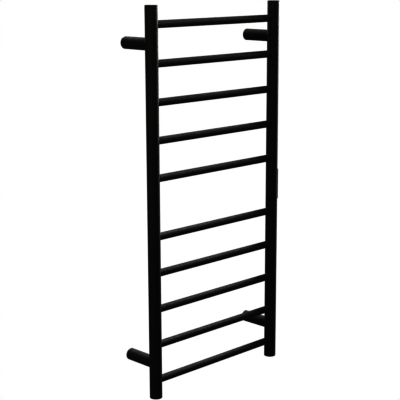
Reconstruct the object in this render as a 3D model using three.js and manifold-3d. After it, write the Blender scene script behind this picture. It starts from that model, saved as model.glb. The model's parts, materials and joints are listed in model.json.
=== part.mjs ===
/**
 * Ladder towel warmer for a bathroom wall.
 *
 * Two upright tubes carry ten round bars, five above and five below a wide middle gap. Four
 * stand-offs hold the ladder clear of the wall, each sleeve sliding over a base that is screwed to
 * the wall. A heating cable runs up through every bar in turn. It is fed through the bottom right
 * stand-off, and switched by a control module let into the outer side of the right upright.
 *
 * Millimetres. The origin is on the wall plane, midway between the four stand-offs. +X runs along
 * the bars, to the right for someone facing the ladder, +Y runs into the wall and +Z is up.
 */

import * as THREE from 'three';
import { mergeVertices } from 'three/addons/utils/BufferGeometryUtils.js';
import Module from 'manifold-3d';

// ---------------------------------------------------------------------------------------------
// Driving dimensions
// ---------------------------------------------------------------------------------------------

const HEIGHT = 1000;
const UPRIGHT_SPACING = 440; // between the axes of the two uprights
const WALL_DISTANCE = 97; // from the wall to the plane of the upright and bar axes
const CLEARANCE = 0.3; // left between pieces that touch

const UPRIGHT = { radius: 16, wall: 1.5, sides: 24 };
const BAR = { radius: 9.5, wall: 1.2, sides: 16, endFromAxis: 9 };
const BARS_PER_HALF = 5;
const BAR_PITCH = 94.8;
const FIRST_BAR = 74.6; // height of the bars next to the middle gap, above and below mid height

const CAP = { thickness: 2, plugLength: 8 };

const STANDOFF = { radius: 15.4, wall: 2, sides: 24 };
const WIRED_RISE = 2.2; // how much higher the wired stand-off sits than the one beside it
const BASE = { flange: 2.5, depth: 24, grubFromWall: 13, grubHoleDepth: 5 };
const MIDDLE_SCREW = { hole: 2.6, sink: 5, sinkDepth: 2.4 }; // one per plain wall base
const SIDE_SCREW = { hole: 1.8, sink: 3.2, sinkDepth: 1.4, offset: 9 }; // two beside the lead
const GRUB = { radius: 2.5, length: 6, recess: 0.4, socket: 1.4, socketDepth: 3, sides: 12 };

const CABLE = { radius: 2.5, bend: 9, bendSteps: 3, sides: 8, tail: 16 };
const CABLE_SEAL = { radius: 3.3, length: 14 };
const CABLE_PASSAGE = 5.5; // radius of the way through the wired stand-off and upright
const LEAD = { radius: 3, bend: 9 };
const GLAND = { collarRadius: 6.6, collarDepth: 2, noseRadius: 4, noseLength: 14 };
const HARNESS = { radius: 2, offset: 7, bend: 12 };
const EARTH = { radius: 1.2, offset: 7, tagThickness: 0.8, tagRadius: 4.5, screwRadius: 2 };
const TERMINALS = { top: -417, bottom: -437, left: -6, right: 9.5, halfDepth: 4.5, wells: 3 };
const CUTOUT = { width: 6, depth: 8, length: 18, height: -216 };

// The control module. Its x runs outwards from the right upright's axis.
const FASCIA = { width: 16, length: 87, proud: 2.2, corner: 3, edge: 1, root: 12 };
const SLOT = { width: 12.6, length: 81 };
const HOUSING = { floor: 1.5, rim: 13.8, wall: 1, bossLength: 6.3, lip: 3.8, lipHeight: 3 };
const GASKET = { bottom: 14.1, top: 14.8, width: 1.2 };
const BOARD = { bottom: 6, thickness: 1.2, width: 9.2, length: 67, postSize: 2 };
const SWITCH = { size: 4.6, bottom: 7.5, top: 9.5, plungerTop: 10.2, plungerRadius: 1.1 };
const BUTTON = { radius: 3.5, proud: 0.3, flangeRadius: 4.3, flangeTop: 15, flangeBottom: 14 };
const BUTTON_STEM = { radius: 1.5, bottom: 10.9 };
const BUTTON_HEIGHTS = { power: 23, timer: 0, heat: -23 };
const LIGHT = { radius: 1, recess: 0.2 };
const LIGHT_HEIGHTS = {
  power_light: 11.5,
  heat_light_high: -8,
  heat_light_mid: -11.5,
  heat_light_low: -15,
};
const FASCIA_SCREW = { height: 36.5, shank: 1.25, head: 2.5, headDepth: 1.5, bottom: 8.3 };
const RECESS = { length: 2.8, width: 0.6, depth: 0.8 }; // each arm of a screw's cross

const SMALL_SIDES = 12; // facets round small pins and holes
const BUTTON_SIDES = 16;

// ---------------------------------------------------------------------------------------------
// Colours and finishes
// ---------------------------------------------------------------------------------------------

const FINISH = {
  powderCoat: { color: 0x0b0b0b, roughness: 0.5, metalness: 0.1 },
  blackSteel: { color: 0x1a1a1b, roughness: 0.4, metalness: 0.8 },
  zincSteel: { color: 0x8f9296, roughness: 0.35, metalness: 0.9 },
  brass: { color: 0xb08d45, roughness: 0.35, metalness: 0.9 },
  glossPlastic: { color: 0x0c0c0d, roughness: 0.2, metalness: 0 },
  mattePlastic: { color: 0x161616, roughness: 0.6, metalness: 0 },
  lightPlastic: { color: 0xd9d6cc, roughness: 0.5, metalness: 0 },
  clearPlastic: { color: 0x8a2a1c, roughness: 0.2, metalness: 0 },
  rubber: { color: 0x111111, roughness: 0.8, metalness: 0 },
  silicone: { color: 0x9a3524, roughness: 0.6, metalness: 0 },
  greyCable: { color: 0x55585a, roughness: 0.6, metalness: 0 },
  earthCable: { color: 0x6f8f2a, roughness: 0.6, metalness: 0 },
  circuitBoard: { color: 0x1d4a2c, roughness: 0.5, metalness: 0 },
};

// ---------------------------------------------------------------------------------------------
// Solids
// ---------------------------------------------------------------------------------------------

const wasm = await Module();
wasm.setup();

const vec = (x, y, z) => new THREE.Vector3(x, y, z);
const ALONG_Y = vec(0, 1, 0);

/** A closed three.js geometry as a solid that can be cut and joined. */
function solidFrom(geometry) {
  geometry.deleteAttribute('normal');
  geometry.deleteAttribute('uv');
  const merged = mergeVertices(geometry, 1e-4);
  return new wasm.Manifold(
    new wasm.Mesh({
      numProp: 3,
      vertProperties: Float32Array.from(merged.attributes.position.array),
      triVerts: Uint32Array.from(merged.index.array),
    }),
  );
}

/** A round piece between two points, with its own radius at each end. */
function cone(startRadius, endRadius, start, end, sides) {
  const axis = end.clone().sub(start);
  const geometry = new THREE.CylinderGeometry(endRadius, startRadius, axis.length(), sides);
  geometry.applyQuaternion(new THREE.Quaternion().setFromUnitVectors(ALONG_Y, axis.normalize()));
  const middle = start.clone().add(end).multiplyScalar(0.5);
  geometry.translate(middle.x, middle.y, middle.z);
  return solidFrom(geometry);
}

/** A round bar between two points. */
function rod(radius, start, end, sides) {
  return cone(radius, radius, start, end, sides);
}

/** A round tube between two points. */
function tube(radius, wall, start, end, sides) {
  const overshoot = end.clone().sub(start).normalize();
  const bore = rod(radius - wall, start.clone().sub(overshoot), end.clone().add(overshoot), sides);
  return rod(radius, start, end, sides).subtract(bore);
}

/** A rectangular block between its lowest and highest corners. */
function block(low, high) {
  const size = high.clone().sub(low);
  const geometry = new THREE.BoxGeometry(size.x, size.y, size.z);
  const middle = low.clone().add(high).multiplyScalar(0.5);
  geometry.translate(middle.x, middle.y, middle.z);
  return solidFrom(geometry);
}

/** Everything in the list cut out of the body. */
function cut(body, cutters) {
  return cutters.reduce((rest, cutter) => rest.subtract(cutter), body);
}

/** Everything in the list joined together. */
function join(pieces) {
  return pieces.reduce((whole, piece) => whole.add(piece));
}

/** A route of straight runs with a rounded bend at each corner, stepped only where it bends. */
class BentRoute extends THREE.Curve {
  constructor(corners, bend, bendSteps) {
    super();
    this.stations = [corners[0]];
    for (let i = 1; i < corners.length - 1; i++) {
      this.stations.push(...bendStations(corners[i - 1], corners[i], corners[i + 1], bend, bendSteps));
    }
    this.stations.push(corners[corners.length - 1]);
  }

  get steps() {
    return this.stations.length - 1;
  }

  /** Steps are even in station number, not in length. */
  getUtoTmapping(u) {
    return u;
  }

  getPoint(t, target = new THREE.Vector3()) {
    const place = THREE.MathUtils.clamp(t, 0, 1) * this.steps;
    const before = Math.min(Math.floor(place), this.steps - 1);
    return target.lerpVectors(this.stations[before], this.stations[before + 1], place - before);
  }
}

/** The points along the arc that rounds one corner of a route. */
function bendStations(before, corner, after, bend, bendSteps) {
  const incoming = corner.clone().sub(before).normalize();
  const outgoing = after.clone().sub(corner).normalize();
  const turn = incoming.angleTo(outgoing);
  const start = corner.clone().addScaledVector(incoming, -bend * Math.tan(turn / 2));
  const inward = outgoing.clone().addScaledVector(incoming, -outgoing.dot(incoming)).normalize();
  const points = [];
  for (let step = 0; step <= bendSteps; step++) {
    const angle = (turn * step) / bendSteps;
    const forward = incoming.clone().multiplyScalar(bend * Math.sin(angle));
    points.push(start.clone().add(forward).addScaledVector(inward, bend * (1 - Math.cos(angle))));
  }
  return points;
}

/** A round cable along a route of straight runs and bends. */
function cable(radius, corners, bend, sides = CABLE.sides) {
  const route = new BentRoute(corners, bend, CABLE.bendSteps);
  const section = [];
  for (let i = 0; i < sides; i++) {
    const angle = (2 * Math.PI * i) / sides;
    section.push(new THREE.Vector2(radius * Math.cos(angle), radius * Math.sin(angle)));
  }
  const geometry = new THREE.ExtrudeGeometry(new THREE.Shape(section), {
    steps: route.steps,
    extrudePath: route,
  });
  return solidFrom(geometry);
}

/** A named mesh of one solid. */
function piece(name, solid, finish) {
  const mesh = solid.getMesh();
  const geometry = new THREE.BufferGeometry();
  geometry.setAttribute('position', new THREE.BufferAttribute(mesh.vertProperties, 3));
  geometry.setIndex(new THREE.BufferAttribute(mesh.triVerts, 1));
  geometry.computeVertexNormals();
  const part = new THREE.Mesh(geometry, new THREE.MeshStandardMaterial(finish));
  part.name = name;
  return part;
}

/** A group of pieces placed at a point. */
function assembly(position, pieces) {
  const group = new THREE.Group();
  group.position.copy(position);
  group.add(...pieces);
  return group;
}

// ---------------------------------------------------------------------------------------------
// Places worked out from the driving dimensions
// ---------------------------------------------------------------------------------------------

const uprightX = UPRIGHT_SPACING / 2;
const uprightBore = UPRIGHT.radius - UPRIGHT.wall;
const tubeEnd = HEIGHT / 2 - CAP.thickness - CLEARANCE;
const standoffHeight = FIRST_BAR + (BARS_PER_HALF - 1.5) * BAR_PITCH; // midway between the end bars
const wiredHeight = WIRED_RISE - standoffHeight;
const sleeveBore = STANDOFF.radius - STANDOFF.wall;
const bossRadius = sleeveBore - CLEARANCE;
const fasciaTop = UPRIGHT.radius + FASCIA.proud;
const harnessEntry = BOARD.bottom - 2 * CLEARANCE - HARNESS.radius; // from the axis, under the board

/** Heights of the bars, from the lowest to the highest. */
const barHeights = [];
for (let i = 0; i < BARS_PER_HALF; i++) {
  barHeights.push(FIRST_BAR + i * BAR_PITCH, -FIRST_BAR - i * BAR_PITCH);
}
barHeights.sort((a, b) => a - b);

// ---------------------------------------------------------------------------------------------
// Uprights, bars and end caps. An upright's own frame has its axis on z, at mid height.
// ---------------------------------------------------------------------------------------------

/** A bored tube with a hole in its inner side for each bar. inward is the x direction of the bars. */
function uprightTube(inward) {
  const body = tube(UPRIGHT.radius, UPRIGHT.wall, vec(0, 0, -tubeEnd), vec(0, 0, tubeEnd), UPRIGHT.sides);
  const holeEnd = inward * (UPRIGHT.radius + 1);
  const holes = barHeights.map((z) =>
    rod(BAR.radius + CLEARANCE, vec(0, 0, z), vec(holeEnd, 0, z), BAR.sides),
  );
  return cut(body, holes);
}

/** The way for the supply lead through the back of the right upright. */
function leadHole() {
  const back = UPRIGHT.radius + 1;
  return rod(CABLE_PASSAGE, vec(0, 0, wiredHeight), vec(0, back, wiredHeight), SMALL_SIDES);
}

/** The slot in the outer side of the right upright that takes the control module. */
function controlSlot() {
  const low = vec(uprightBore / 2, -SLOT.width / 2, -SLOT.length / 2);
  const high = vec(UPRIGHT.radius + 1, SLOT.width / 2, SLOT.length / 2);
  return block(low, high);
}

/** A disc that closes a tube's end, with a plug inside the tube. up is 1 at the top, -1 below. */
function endCap(up) {
  const end = (up * HEIGHT) / 2;
  const shoulder = end - up * CAP.thickness;
  const plugEnd = shoulder - up * CAP.plugLength;
  const disc = rod(UPRIGHT.radius, vec(0, 0, shoulder), vec(0, 0, end), UPRIGHT.sides);
  const plug = rod(uprightBore - CLEARANCE, vec(0, 0, plugEnd), vec(0, 0, end - up), UPRIGHT.sides);
  return disc.add(plug);
}

/** A blind hole in the bottom right cap for the earth screw. */
function earthScrewHole() {
  const top = -HEIGHT / 2 + CAP.thickness + CAP.plugLength;
  const radius = EARTH.screwRadius + CLEARANCE;
  return rod(radius, vec(0, 0, top - CAP.plugLength + 1), vec(0, 0, top + 1), SMALL_SIDES);
}

function leftUpright() {
  return assembly(vec(-uprightX, -WALL_DISTANCE, 0), [
    piece('left_upright', uprightTube(1), FINISH.powderCoat),
    piece('left_top_cap', endCap(1), FINISH.powderCoat),
    piece('left_bottom_cap', endCap(-1), FINISH.powderCoat),
  ]);
}

function rightUpright() {
  const body = cut(uprightTube(-1), [leadHole(), controlSlot()]);
  return assembly(vec(uprightX, -WALL_DISTANCE, 0), [
    piece('right_upright', body, FINISH.powderCoat),
    piece('right_top_cap', endCap(1), FINISH.powderCoat),
    piece('right_bottom_cap', endCap(-1).subtract(earthScrewHole()), FINISH.powderCoat),
  ]);
}

/** The ten bars, numbered from the bottom. Their ends reach inside the uprights. */
function bars() {
  const end = uprightX - BAR.endFromAxis;
  return barHeights.map((z, index) => {
    const bar = tube(BAR.radius, BAR.wall, vec(-end, 0, 0), vec(end, 0, 0), BAR.sides);
    const mesh = piece(`bar_${String(index + 1).padStart(2, '0')}`, bar, FINISH.powderCoat);
    mesh.position.set(0, -WALL_DISTANCE, z);
    return mesh;
  });
}

// ---------------------------------------------------------------------------------------------
// Stand-offs. Each has its own frame, with its origin on the wall and y along its axis.
// ---------------------------------------------------------------------------------------------

const fromWall = (distance) => vec(0, -distance, 0);

/** The sleeve between the upright and the wall base, its end shaped to the upright. */
function sleeve() {
  const wallEnd = fromWall(BASE.flange + CLEARANCE);
  const body = tube(STANDOFF.radius, STANDOFF.wall, fromWall(WALL_DISTANCE), wallEnd, STANDOFF.sides);
  const low = vec(0, -WALL_DISTANCE, -2 * STANDOFF.radius);
  const high = vec(0, -WALL_DISTANCE, 2 * STANDOFF.radius);
  return cut(body, [rod(UPRIGHT.radius + CLEARANCE, low, high, UPRIGHT.sides), grubHole()]);
}

/** The hole from below for the grub screw that holds the sleeve on the base. */
function grubHole() {
  const y = -BASE.grubFromWall;
  const bottom = vec(0, y, -STANDOFF.radius - 1);
  const top = vec(0, y, -bossRadius + BASE.grubHoleDepth);
  return rod(GRUB.radius + CLEARANCE, bottom, top, SMALL_SIDES);
}

/** A countersunk screw hole through a wall base, x to the side of its axis. */
function wallScrewHole(screw, x) {
  const at = (distance) => vec(x, -distance, 0);
  const sinkStart = BASE.depth - screw.sinkDepth;
  return join([
    rod(screw.hole, at(-1), at(BASE.depth + 1), SMALL_SIDES),
    cone(screw.hole, screw.sink, at(sinkStart), at(BASE.depth), SMALL_SIDES),
    rod(screw.sink, at(BASE.depth), at(BASE.depth + 1), SMALL_SIDES),
  ]);
}

/** The way for the supply lead and its gland through the wired wall base. */
function glandSeat() {
  const seatDepth = GLAND.collarDepth + CLEARANCE;
  return join([
    rod(CABLE_PASSAGE, fromWall(-1), fromWall(BASE.depth + 1), SMALL_SIDES),
    rod(GLAND.collarRadius + CLEARANCE, fromWall(-1), fromWall(seatDepth), SMALL_SIDES),
  ]);
}

/** The disc and boss that are screwed to the wall. */
function wallBase(isWired) {
  const flange = rod(STANDOFF.radius, fromWall(0), fromWall(BASE.flange), STANDOFF.sides);
  const boss = rod(bossRadius, fromWall(1), fromWall(BASE.depth), STANDOFF.sides);
  const sideHoles = [-SIDE_SCREW.offset, SIDE_SCREW.offset].map((x) => wallScrewHole(SIDE_SCREW, x));
  const holes = isWired ? [glandSeat(), ...sideHoles] : [wallScrewHole(MIDDLE_SCREW, 0)];
  return cut(flange.add(boss), [...holes, grubHole()]);
}

/** A headless screw with a hexagon socket, driven from below. */
function grubScrew() {
  const y = -BASE.grubFromWall;
  const bottom = -STANDOFF.radius + GRUB.recess;
  const body = rod(GRUB.radius, vec(0, y, bottom), vec(0, y, bottom + GRUB.length), GRUB.sides);
  const socketTop = bottom + GRUB.socketDepth;
  return body.subtract(rod(GRUB.socket, vec(0, y, bottom - 1), vec(0, y, socketTop), 6));
}

function standoff(place, x, z, isWired = false) {
  return assembly(vec(x, 0, z), [
    piece(`${place}_standoff`, sleeve(), FINISH.powderCoat),
    piece(`${place}_wall_base`, wallBase(isWired), FINISH.blackSteel),
    piece(`${place}_grub_screw`, grubScrew(), FINISH.blackSteel),
  ]);
}

// ---------------------------------------------------------------------------------------------
// Heating cable and wiring, in the frame of the right upright's axis. The bars lie towards -x.
// ---------------------------------------------------------------------------------------------

/** One cable up through every bar in turn, crossing from upright to upright. */
function heatingCable() {
  const corners = [vec(0, 0, TERMINALS.bottom - CLEARANCE)];
  barHeights.forEach((z, index) => {
    const startsRight = index % 2 === 0;
    corners.push(vec(startsRight ? 0 : -UPRIGHT_SPACING, 0, z));
    corners.push(vec(startsRight ? -UPRIGHT_SPACING : 0, 0, z));
  });
  const topBar = barHeights[barHeights.length - 1];
  corners.push(vec(0, 0, topBar + CABLE.tail));
  return cable(CABLE.radius, corners, CABLE.bend);
}

/** The silicone sleeve crimped over the cable's far end. */
function cableSeal() {
  const bottom = barHeights[barHeights.length - 1] + CABLE.tail + CLEARANCE;
  return rod(CABLE_SEAL.radius, vec(0, 0, bottom), vec(0, 0, bottom + CABLE_SEAL.length), SMALL_SIDES);
}

/** The block that joins the supply lead, the heating cable, the harness and the earth lead. */
function terminalBlock() {
  const low = vec(TERMINALS.left, -TERMINALS.halfDepth, TERMINALS.bottom);
  const high = vec(TERMINALS.right, TERMINALS.halfDepth, TERMINALS.top);
  const pitch = (TERMINALS.right - TERMINALS.left) / TERMINALS.wells;
  const middle = (TERMINALS.top + TERMINALS.bottom) / 2;
  const wells = [];
  for (let i = 0; i < TERMINALS.wells; i++) {
    const x = TERMINALS.left + pitch * (i + 0.5);
    const mouth = vec(x, -TERMINALS.halfDepth - 1, middle);
    wells.push(rod(pitch / 3, mouth, vec(x, -1, middle), SMALL_SIDES));
  }
  return cut(block(low, high), wells);
}

/** The lead from the wall, through the stand-off and down to the terminal block. */
function supplyLead() {
  const corners = [
    vec(0, WALL_DISTANCE - 1, wiredHeight),
    vec(0, 0, wiredHeight),
    vec(0, 0, TERMINALS.top + CLEARANCE),
  ];
  return cable(LEAD.radius, corners, LEAD.bend, SMALL_SIDES);
}

/** The rubber gland round the lead, its collar let into the back of the wired wall base. */
function cableGland() {
  const at = (distance) => vec(0, WALL_DISTANCE - distance, wiredHeight);
  const bodyEnd = BASE.depth + 1;
  const body = rod(CABLE_PASSAGE - CLEARANCE, at(CLEARANCE), at(bodyEnd), SMALL_SIDES);
  const collar = rod(GLAND.collarRadius, at(CLEARANCE), at(GLAND.collarDepth), SMALL_SIDES);
  const noseEnd = at(bodyEnd + GLAND.noseLength);
  const nose = cone(CABLE_PASSAGE - CLEARANCE, GLAND.noseRadius, at(bodyEnd - 1), noseEnd, SMALL_SIDES);
  const bore = rod(LEAD.radius + CLEARANCE, at(-1), at(WALL_DISTANCE / 2), SMALL_SIDES);
  return join([body, collar, nose]).subtract(bore);
}

/** The leads between the terminal block and the control module, in one sleeve. */
function controlHarness() {
  const housingBottom = -SLOT.length / 2;
  const corners = [
    vec(HARNESS.offset, 0, TERMINALS.top + CLEARANCE),
    vec(HARNESS.offset, 0, housingBottom - 18),
    vec(harnessEntry, 0, housingBottom - 8),
    vec(harnessEntry, 0, -BOARD.length / 2 - 2 * CLEARANCE),
  ];
  return cable(HARNESS.radius, corners, HARNESS.bend);
}

/** The bimetal cut-out that opens if the ladder overheats, beside the harness. */
function thermalCutout() {
  const right = HARNESS.offset - HARNESS.radius - CLEARANCE;
  const low = vec(right - CUTOUT.width, -CUTOUT.depth / 2, CUTOUT.height - CUTOUT.length / 2);
  const high = vec(right, CUTOUT.depth / 2, CUTOUT.height + CUTOUT.length / 2);
  return block(low, high);
}

const capTop = -HEIGHT / 2 + CAP.thickness + CAP.plugLength;
const tagBottom = capTop + CLEARANCE;
const tagTop = tagBottom + EARTH.tagThickness;
const tagBarrelTop = tagTop + 6;

/** A ring terminal on the bottom cap, with a barrel that grips the earth lead. */
function earthTag() {
  const ring = rod(EARTH.tagRadius, vec(0, 0, tagBottom), vec(0, 0, tagTop), SMALL_SIDES);
  const tongue = block(vec(0, -EARTH.radius, tagBottom), vec(EARTH.offset, EARTH.radius, tagTop));
  const foot = vec(EARTH.offset, 0, tagBottom);
  const barrel = rod(EARTH.radius + 0.8, foot, vec(EARTH.offset, 0, tagBarrelTop), SMALL_SIDES);
  const hole = rod(EARTH.screwRadius + CLEARANCE, vec(0, 0, capTop), vec(0, 0, tagTop + 1), SMALL_SIDES);
  return join([ring, tongue, barrel]).subtract(hole);
}

function earthLead() {
  const bottom = vec(EARTH.offset, 0, tagBarrelTop + CLEARANCE);
  const top = vec(EARTH.offset, 0, TERMINALS.bottom - CLEARANCE);
  return rod(EARTH.radius, bottom, top, CABLE.sides);
}

/** The pan head screw that holds the earth tag on the cap. */
function earthScrew() {
  const headBottom = tagTop + CLEARANCE;
  const headRadius = 1.7 * EARTH.screwRadius;
  const shankBottom = capTop - CAP.plugLength + 2;
  const shank = rod(EARTH.screwRadius, vec(0, 0, shankBottom), vec(0, 0, headBottom + 1), SMALL_SIDES);
  const head = rod(headRadius, vec(0, 0, headBottom), vec(0, 0, headBottom + 2.4), SMALL_SIDES);
  return shank.add(head);
}

function wiring() {
  return assembly(vec(uprightX, -WALL_DISTANCE, 0), [
    piece('heating_cable', heatingCable(), FINISH.silicone),
    piece('heating_cable_seal', cableSeal(), FINISH.silicone),
    piece('terminal_block', terminalBlock(), FINISH.lightPlastic),
    piece('inner_supply_lead', supplyLead(), FINISH.greyCable),
    piece('cable_gland', cableGland(), FINISH.rubber),
    piece('control_harness', controlHarness(), FINISH.greyCable),
    piece('thermal_cutout', thermalCutout(), FINISH.mattePlastic),
    piece('earth_lead', earthLead(), FINISH.earthCable),
    piece('earth_tag', earthTag(), FINISH.brass),
    piece('earth_screw', earthScrew(), FINISH.zincSteel),
  ]);
}

// ---------------------------------------------------------------------------------------------
// Control module, in the frame of the right upright's axis at mid height. x points outwards.
// ---------------------------------------------------------------------------------------------

/** A rounded plate across x, with softened edges. */
function roundedPlate(width, length, corner, edge, from, to) {
  const shape = new THREE.Shape();
  const y = width / 2;
  const z = length / 2;
  shape.moveTo(-y + corner, -z);
  shape.lineTo(y - corner, -z);
  shape.absarc(y - corner, -z + corner, corner, -Math.PI / 2, 0);
  shape.lineTo(y, z - corner);
  shape.absarc(y - corner, z - corner, corner, 0, Math.PI / 2);
  shape.lineTo(-y + corner, z);
  shape.absarc(-y + corner, z - corner, corner, Math.PI / 2, Math.PI);
  shape.lineTo(-y, -z + corner);
  shape.absarc(-y + corner, -z + corner, corner, Math.PI, 1.5 * Math.PI);
  const geometry = new THREE.ExtrudeGeometry(shape, {
    depth: to - from - 2 * edge,
    curveSegments: 4,
    bevelThickness: edge,
    bevelSize: edge,
    bevelOffset: -edge,
    bevelSegments: 2,
  });
  geometry.translate(0, 0, from + edge);
  geometry.applyMatrix4(new THREE.Matrix4().makeBasis(vec(0, 1, 0), vec(0, 0, 1), vec(1, 0, 0)));
  return solidFrom(geometry);
}

/** A round cutter or pin along x at one height. */
function pinAlongX(radius, from, to, z, sides = SMALL_SIDES) {
  return rod(radius, vec(from, 0, z), vec(to, 0, z), sides);
}

/** The outer cover, its back shaped to the upright, with holes for buttons, lights and screws. */
function fascia() {
  const plate = roundedPlate(
    FASCIA.width,
    FASCIA.length,
    FASCIA.corner,
    FASCIA.edge,
    FASCIA.root,
    fasciaTop,
  );
  const far = fasciaTop + 1;
  const half = FASCIA.length;
  const upright = rod(UPRIGHT.radius + CLEARANCE, vec(0, 0, -half), vec(0, 0, half), UPRIGHT.sides);
  const holes = [];
  for (const z of Object.values(BUTTON_HEIGHTS)) {
    holes.push(pinAlongX(BUTTON.radius + CLEARANCE, FASCIA.root, far, z, BUTTON_SIDES));
  }
  for (const z of Object.values(LIGHT_HEIGHTS)) {
    holes.push(pinAlongX(LIGHT.radius + CLEARANCE, FASCIA.root, far, z));
  }
  for (const z of [-FASCIA_SCREW.height, FASCIA_SCREW.height]) {
    holes.push(pinAlongX(FASCIA_SCREW.shank + CLEARANCE, FASCIA.root, far, z));
    holes.push(fasciaScrewHead(z, CLEARANCE));
  }
  return cut(plate, [upright, ...holes]);
}

/** A countersunk head, or the seat cut for it when grown by the clearance. */
function fasciaScrewHead(z, growth) {
  const top = fasciaTop + growth;
  const bottom = fasciaTop - FASCIA_SCREW.headDepth;
  const start = vec(bottom, 0, z);
  const headRadius = FASCIA_SCREW.head + 2 * growth;
  return cone(FASCIA_SCREW.shank + growth, headRadius, start, vec(top, 0, z), BUTTON_SIDES);
}

/** A countersunk screw with a cross-shaped recess. */
function fasciaScrew(z) {
  const top = fasciaTop;
  const head = fasciaScrewHead(z, 0);
  const shank = pinAlongX(FASCIA_SCREW.shank, FASCIA_SCREW.bottom, top - 0.5, z);
  const arm = RECESS.length / 2;
  const half = RECESS.width / 2;
  const floor = top - RECESS.depth;
  const across = block(vec(floor, -arm, z - half), vec(top + 1, arm, z + half));
  const upDown = block(vec(floor, -half, z - arm), vec(top + 1, half, z + arm));
  return cut(head.add(shank), [across, upDown]);
}

/** An open tray for the electronics, with a screw boss and a gripping lip at each end. */
function housing() {
  const y = SLOT.width / 2 - CLEARANCE;
  const z = SLOT.length / 2 - CLEARANCE;
  const bossInner = z - HOUSING.bossLength;
  const shell = block(vec(HOUSING.floor, -y, -z), vec(HOUSING.rim, y, z));
  const lipTop = HOUSING.rim - 0.5;
  const lipLow = vec(lipTop - HOUSING.lipHeight, 1 - y, -z - HOUSING.lip);
  const lips = block(lipLow, vec(lipTop, y - 1, z + HOUSING.lip));
  const roomLow = vec(HOUSING.floor + HOUSING.wall, HOUSING.wall - y, -bossInner);
  const room = block(roomLow, vec(HOUSING.rim + 1, y - HOUSING.wall, bossInner));
  const holes = [-FASCIA_SCREW.height, FASCIA_SCREW.height].map((height) =>
    pinAlongX(FASCIA_SCREW.shank + CLEARANCE, FASCIA_SCREW.bottom - CLEARANCE, HOUSING.rim + 1, height),
  );
  const wayStart = vec(harnessEntry, 0, -z - HOUSING.lip - 1);
  const wayEnd = vec(harnessEntry, 0, -bossInner + 1);
  const harnessWay = rod(HARNESS.radius + CLEARANCE, wayStart, wayEnd, SMALL_SIDES);
  return cut(shell.add(lips), [room, ...holes, harnessWay]).add(boardPosts(y - HOUSING.wall + CLEARANCE));
}

/** Four posts against the tray's side walls, that carry the circuit board. */
function boardPosts(wallY) {
  const half = BOARD.postSize / 2;
  const z = BOARD.length / 2 - 3 * BOARD.postSize;
  const posts = [];
  for (const y of [half - wallY, wallY - half]) {
    for (const height of [-z, z]) {
      const low = vec(HOUSING.floor, y - half, height - half);
      posts.push(block(low, vec(BOARD.bottom - CLEARANCE, y + half, height + half)));
    }
  }
  return join(posts);
}

/** A flat rubber frame between the tray's rim and the fascia. */
function gasket() {
  const y = SLOT.width / 2 - CLEARANCE;
  const z = SLOT.length / 2 - CLEARANCE;
  const frame = block(vec(GASKET.bottom, -y, -z), vec(GASKET.top, y, z));
  const openingLow = vec(GASKET.bottom - 1, GASKET.width - y, GASKET.width - z);
  const opening = block(openingLow, vec(GASKET.top + 1, y - GASKET.width, z - GASKET.width));
  return frame.subtract(opening);
}

/** The circuit board with a relay and a connector on its back. */
function circuitBoard() {
  const y = BOARD.width / 2;
  const z = BOARD.length / 2;
  const board = block(vec(BOARD.bottom, -y, -z), vec(BOARD.bottom + BOARD.thickness, y, z));
  const backTop = BOARD.bottom + 0.2;
  const backBottom = HOUSING.floor + HOUSING.wall + CLEARANCE;
  const relay = block(vec(backBottom, -2.4, -12), vec(backTop, 2.4, 8));
  const connector = block(vec(backBottom + 1, -2, -z + 1), vec(backTop, 2, -z + 6));
  return join([board, relay, connector]);
}

/** A tactile switch: a square body with a round plunger. */
function tactSwitch(z) {
  const half = SWITCH.size / 2;
  const body = block(vec(SWITCH.bottom, -half, z - half), vec(SWITCH.top, half, z + half));
  return body.add(pinAlongX(SWITCH.plungerRadius, SWITCH.top - 0.5, SWITCH.plungerTop, z));
}

/** A push button: a cap with a softened rim, a flange that keeps it in and a stem to its switch. */
function pushButton(z) {
  const top = fasciaTop + BUTTON.proud;
  const rim = 0.4;
  return join([
    pinAlongX(BUTTON.radius, BUTTON.flangeTop - 0.5, top - rim, z, BUTTON_SIDES),
    cone(BUTTON.radius, BUTTON.radius - rim, vec(top - rim, 0, z), vec(top, 0, z), BUTTON_SIDES),
    pinAlongX(BUTTON.flangeRadius, BUTTON.flangeBottom, BUTTON.flangeTop, z, BUTTON_SIDES),
    pinAlongX(BUTTON_STEM.radius, BUTTON_STEM.bottom, BUTTON.flangeBottom + 0.5, z),
  ]);
}

/** A clear pin that carries an indicator's light from the board to the fascia. */
function lightPipe(z) {
  const foot = BOARD.bottom + BOARD.thickness + CLEARANCE;
  return pinAlongX(LIGHT.radius, foot, fasciaTop - LIGHT.recess, z);
}

function controlModule() {
  const pieces = [
    piece('control_fascia', fascia(), FINISH.glossPlastic),
    piece('control_gasket', gasket(), FINISH.rubber),
    piece('control_housing', housing(), FINISH.mattePlastic),
    piece('circuit_board', circuitBoard(), FINISH.circuitBoard),
    piece('upper_fascia_screw', fasciaScrew(FASCIA_SCREW.height), FINISH.blackSteel),
    piece('lower_fascia_screw', fasciaScrew(-FASCIA_SCREW.height), FINISH.blackSteel),
  ];
  for (const [use, z] of Object.entries(BUTTON_HEIGHTS)) {
    pieces.push(piece(`${use}_button`, pushButton(z), FINISH.mattePlastic));
    pieces.push(piece(`${use}_switch`, tactSwitch(z), FINISH.lightPlastic));
  }
  for (const [name, z] of Object.entries(LIGHT_HEIGHTS)) {
    pieces.push(piece(name, lightPipe(z), FINISH.clearPlastic));
  }
  return assembly(vec(uprightX, -WALL_DISTANCE, 0), pieces);
}

// ---------------------------------------------------------------------------------------------
// The towel warmer
// ---------------------------------------------------------------------------------------------

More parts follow.
